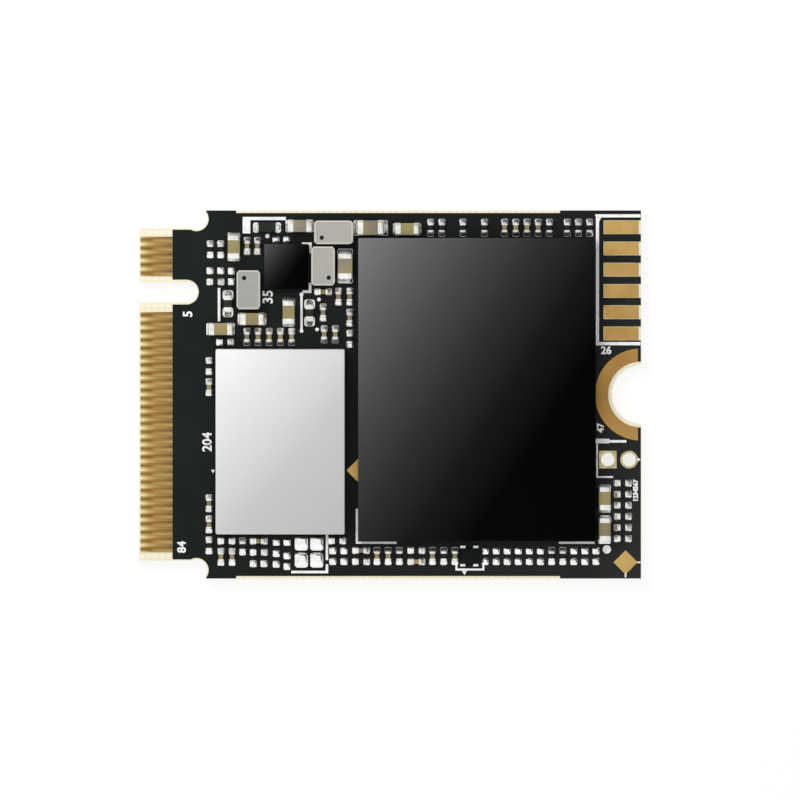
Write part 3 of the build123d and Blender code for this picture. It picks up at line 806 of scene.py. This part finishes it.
def probe_pads():
    """The gold programming pads, their corners rounded towards the memory chip and their edges pale with a
    painted highlight.
    """
    low, high = solids_of("programming_pads")[0]
    model = block("probe_pads", *(high - low), 0, 0, low.z)
    ease(model, lambda edge: upright(edge) and edge.verts[0].co.x < 0, 0.12, 4)
    pick(model, "FACE", facing_up)
    bpy.ops.mesh.inset(thickness=0.04)
    bpy.ops.object.mode_set(mode="OBJECT")
    # The pale tone on the rim and sides is a painted highlight. The flat face keeps its gold.
    for material in (pale_gold_and_rim_highlight, pad_gold):
        model.data.materials.append(material)
    max(model.data.polygons, key=lambda face: face.area * face.normal.z).material_index = 1
    seat(set_out(model, spots_of("programming_pads")), pad_gold, "flash_gold", "programming_pads", smooth=20)


soldered_parts()
moulded_slab("memory_mould", "flash_mould", memory_mould, 0.06, 0.04)
controller_lid()
ball_rows()
moulded_slab("power_mould", "power_chip_body", power_mould, 0.04, 0.03)
switch_package()
inductor_blocks()
soldered_pads()
bare_pads()
probe_pads()


# White print


def thicken(piece, thickness):
    """Gives flat print the thickness of its film."""
    bpy.context.view_layer.objects.active = piece
    bpy.ops.object.mode_set(mode="EDIT")
    bpy.ops.mesh.select_all(action="SELECT")
    bpy.ops.mesh.remove_doubles(threshold=CLOSE)
    bpy.ops.mesh.normals_make_consistent(inside=False)
    bpy.ops.object.mode_set(mode="OBJECT")
    film = piece.modifiers.new("film", "SOLIDIFY")
    film.thickness = thickness
    film.offset = 1 if piece.data.polygons[0].normal.z > 0 else -1
    bpy.ops.object.modifier_apply(modifier=film.name)
    return piece


def printed_line(width, points):
    """A printed line along X and Y, drawn from its first corner to its last."""
    bpy.ops.object.select_all(action="DESELECT")
    bpy.ops.mesh.primitive_plane_add(size=width, location=(*points[0], BOARD_TOP))
    piece = bpy.context.object
    bpy.ops.object.transform_apply(location=True, rotation=True, scale=True)
    place = Vector(points[0])
    for point in points[1:]:
        step = Vector(point) - place
        heading = step.normalized()
        front = place + heading * width / 2
        pick(piece, "EDGE",
             lambda edge: ((edge.verts[0].co + edge.verts[1].co).xy / 2 - front).length < 10 * CLOSE)
        for length in (step.length - width, width):
            bpy.ops.mesh.extrude_region_move(TRANSFORM_OT_translate={"value": (*(heading * length), 0)})
        bpy.ops.object.mode_set(mode="OBJECT")
        place = Vector(point)
    return thicken(piece, LINE_FILM)


def printed_patch(corners, x, y, radius, turn=0.0):
    """A printed dot, or a triangle for three corners."""
    bpy.ops.object.select_all(action="DESELECT")
    bpy.ops.mesh.primitive_circle_add(vertices=corners, radius=radius, fill_type="NGON",
                                      location=(x, y, BOARD_TOP), rotation=(0, 0, turn * pi))
    piece = bpy.context.object
    bpy.ops.object.transform_apply(location=True, rotation=True, scale=True)
    return thicken(piece, PATCH_FILM)


def printed_number(text, x, y, height, turn):
    """A plain number, as boards carry by a part."""
    type_size = 1.4 * height
    bpy.ops.object.select_all(action="DESELECT")
    bpy.ops.object.text_add(location=(0, 0, 0))
    piece = bpy.context.object
    piece.data.body = text
    piece.data.align_x = "CENTER"
    piece.data.align_y = "CENTER"
    piece.data.size = type_size
    piece.data.offset = 0.02
    piece.data.resolution_u = 3
    bpy.ops.object.convert(target="MESH")
    piece = bpy.context.object
    piece.data.transform(Matrix.Translation((x, y, BOARD_TOP)) @ Matrix.Rotation(radians(turn), 4, "Z"))
    return thicken(piece, LINE_FILM)


# Each line: its width and its corners
lines = (
    (0.19, ((-8.71, 10.52), (-6.32, 10.52))),
    (0.46, ((-8.58, 9.86), (-8.58, 10.19))),
    (0.15, ((-10.22, 4.45), (-10.22, 6.30))),
    (0.14, ((-5.29, 3.80), (-5.29, 5.98))),
    (0.15, ((-5.20, 9.02), (-4.75, 9.02), (-4.75, 8.50))),
    (0.16, ((-5.15, 6.15), (-4.78, 6.15), (-4.78, 6.60))),
    (0.15, ((-3.77, -8.40), (-3.77, -9.12))),
    (0.15, ((-3.77, -9.28), (-3.77, -9.82))),
    (0.15, ((-3.77, -10.22), (-3.77, -10.61), (-5.83, -10.61))),
    (0.13, ((-1.98, -6.90), (-1.98, -8.86), (0.34, -8.86))),
    (0.13, ((10.16, -8.86), (12.17, -8.86))),
    (0.12, ((3.97, -10.24), (3.97, -10.46), (5.58, -10.46), (5.58, -10.24))),
    (0.19, ((14.88, 10.68), (12.40, 10.68), (12.40, 3.04), (14.88, 3.04))),
    (0.27, ((12.38, -2.78), (12.98, -2.78))),
    (0.15, ((13.20, -2.80), (14.05, -2.80))),
    (0.10, ((12.38, -2.98), (12.38, -4.93), (13.28, -4.93))),
    (0.09, ((14.83, -10.03), (14.93, -10.03))),
    (0.09, ((14.08, -10.72), (14.08, -10.88))),
)
# Each dot: its place and radius
dots = (
    (-5.29, 3.80, 0.11), (-5.29, 5.98, 0.12), (-4.25, 5.68, 0.11), (-4.36, 3.89, 0.11), (-7.33, 9.47, 0.13),
    (12.96, -9.26, 0.25),
)
# Each triangle: its place, radius and turn, in half turns from pointing up
triangles = (
    (12.49, 10.62, 0.29, 1.0), (4.45, -10.62, 0.17, 1.0), (-10.58, -4.57, 0.14, 1.0),
    (14.86, -3.89, 0.13, -0.5),
)
# Each number: its digits, place, height and turn in degrees
numbers = (
    ("5", -12.07, 4.81, 0.55, 90), ("84", -12.43, -9.12, 0.5, 90), ("204", -10.91, -2.84, 0.55, 90),
    ("35", -7.28, 5.83, 0.6, 90), ("26", 12.92, 2.62, 0.45, 0), ("47", 12.6, -2.0, 0.4, 90),
    ("1234567", 14.69, -5.75, 0.27, 90),
)
board_print = join([printed_line(*line) for line in lines] + [printed_patch(20, *dot) for dot in dots]
                   + [printed_patch(3, *triangle) for triangle in triangles]
                   + [printed_number(*number) for number in numbers])
board_print.name = "board_print"
seat(board_print, print_white, "laminate_and_mask")


# Studio


def studio_floor():
    """A white sweep that stays white in the picture and still takes the card's shadow."""
    bpy.ops.object.select_all(action="DESELECT")
    bpy.ops.mesh.primitive_plane_add(size=1.2, location=(0, 0, -0.00002))
    floor = bpy.context.object
    floor.name = "floor"
    material = bpy.data.materials.new("white_paper_sweep")
    material.use_nodes = True
    tree = material.node_tree
    tree.nodes.remove(tree.nodes["Principled BSDF"])
    out = tree.nodes["Material Output"]
    paper = node(tree, "BsdfDiffuse", {"Color": hex_colour("fafafa")})
    white = node(tree, "Emission", {"Color": (1, 1, 1, 1), "Strength": 1.06})
    rays = node(tree, "LightPath").outputs
    seen = node(tree, "Math", links={0: rays["Is Camera Ray"], 1: rays["Is Glossy Ray"]}, operation="ADD",
                use_clamp=True)
    share = node(tree, "Math", {1: 0.72}, {0: seen.outputs[0]}, operation="MULTIPLY")
    mixed = node(tree, "MixShader", links={0: share.outputs[0], 1: paper.outputs[0], 2: white.outputs[0]})
    tree.links.new(mixed.outputs[0], out.inputs["Surface"])
    floor.data.materials.append(material)


def studio_light():
    """Even white light all round, and one large lamp from the upper left."""
    world = bpy.data.worlds.new("studio")
    bpy.context.scene.world = world
    world.use_nodes = True
    tree = world.node_tree
    rays = node(tree, "LightPath").outputs
    seen = node(tree, "Math", links={0: rays["Is Camera Ray"], 1: rays["Is Glossy Ray"]}, operation="ADD")
    clear = node(tree, "Math", links={0: seen.outputs[0], 1: rays["Is Transmission Ray"]}, operation="ADD",
                 use_clamp=True)
    strength = node(tree, "MapRange", {"To Min": 0.72, "To Max": 1.0}, {"Value": clear.outputs[0]})
    sky = tree.nodes["Background"]
    sky.inputs["Color"].default_value = (1, 1, 1, 1)
    tree.links.new(strength.outputs["Result"], sky.inputs["Strength"])
    bpy.ops.object.light_add(type="AREA", location=(-0.05, 0.06, 0.09))
    lamp = bpy.context.object
    lamp.name = "softbox"
    lamp.data.size = 0.06
    lamp.data.energy = 0.05
    lamp.rotation_euler = (-lamp.location).to_track_quat("-Z", "Y").to_euler()
    lamp.visible_glossy = False


def dark_flag():
    """A dark card low down at the upper right. Only metal mirrors it, which gives the solder its form."""
    bpy.ops.object.select_all(action="DESELECT")
    bpy.ops.mesh.primitive_plane_add(size=0.2, location=(0.05, 0.05, 0.042))
    flag = bpy.context.object
    flag.name = "flag"
    flag.scale = (1.3, 0.4, 1)
    flag.rotation_euler = (-flag.location).to_track_quat("Z", "Y").to_euler()
    material = bpy.data.materials.new("grey_card")
    material.use_nodes = True
    material.node_tree.nodes["Principled BSDF"].inputs["Base Color"].default_value = hex_colour("303030")
    flag.data.materials.append(material)
    flag.visible_camera = flag.visible_diffuse = flag.visible_shadow = False


def camera_above():
    """A camera straight above the card, which sees it flat, as the picture does."""
    middle = PICTURE / 2
    bpy.ops.object.camera_add(location=((middle - CARD_MIDDLE[0]) / PIXELS_PER_MM * MM,
                                        (CARD_MIDDLE[1] - middle) / PIXELS_PER_MM * MM, 0.2))
    camera = bpy.context.object
    camera.data.type = "ORTHO"
    camera.data.ortho_scale = PICTURE / PIXELS_PER_MM * MM
    camera.data.clip_start = 0.001
    bpy.context.scene.camera = camera


studio_floor()
studio_light()
dark_flag()
camera_above()
bpy.context.scene.view_settings.view_transform = "Standard"
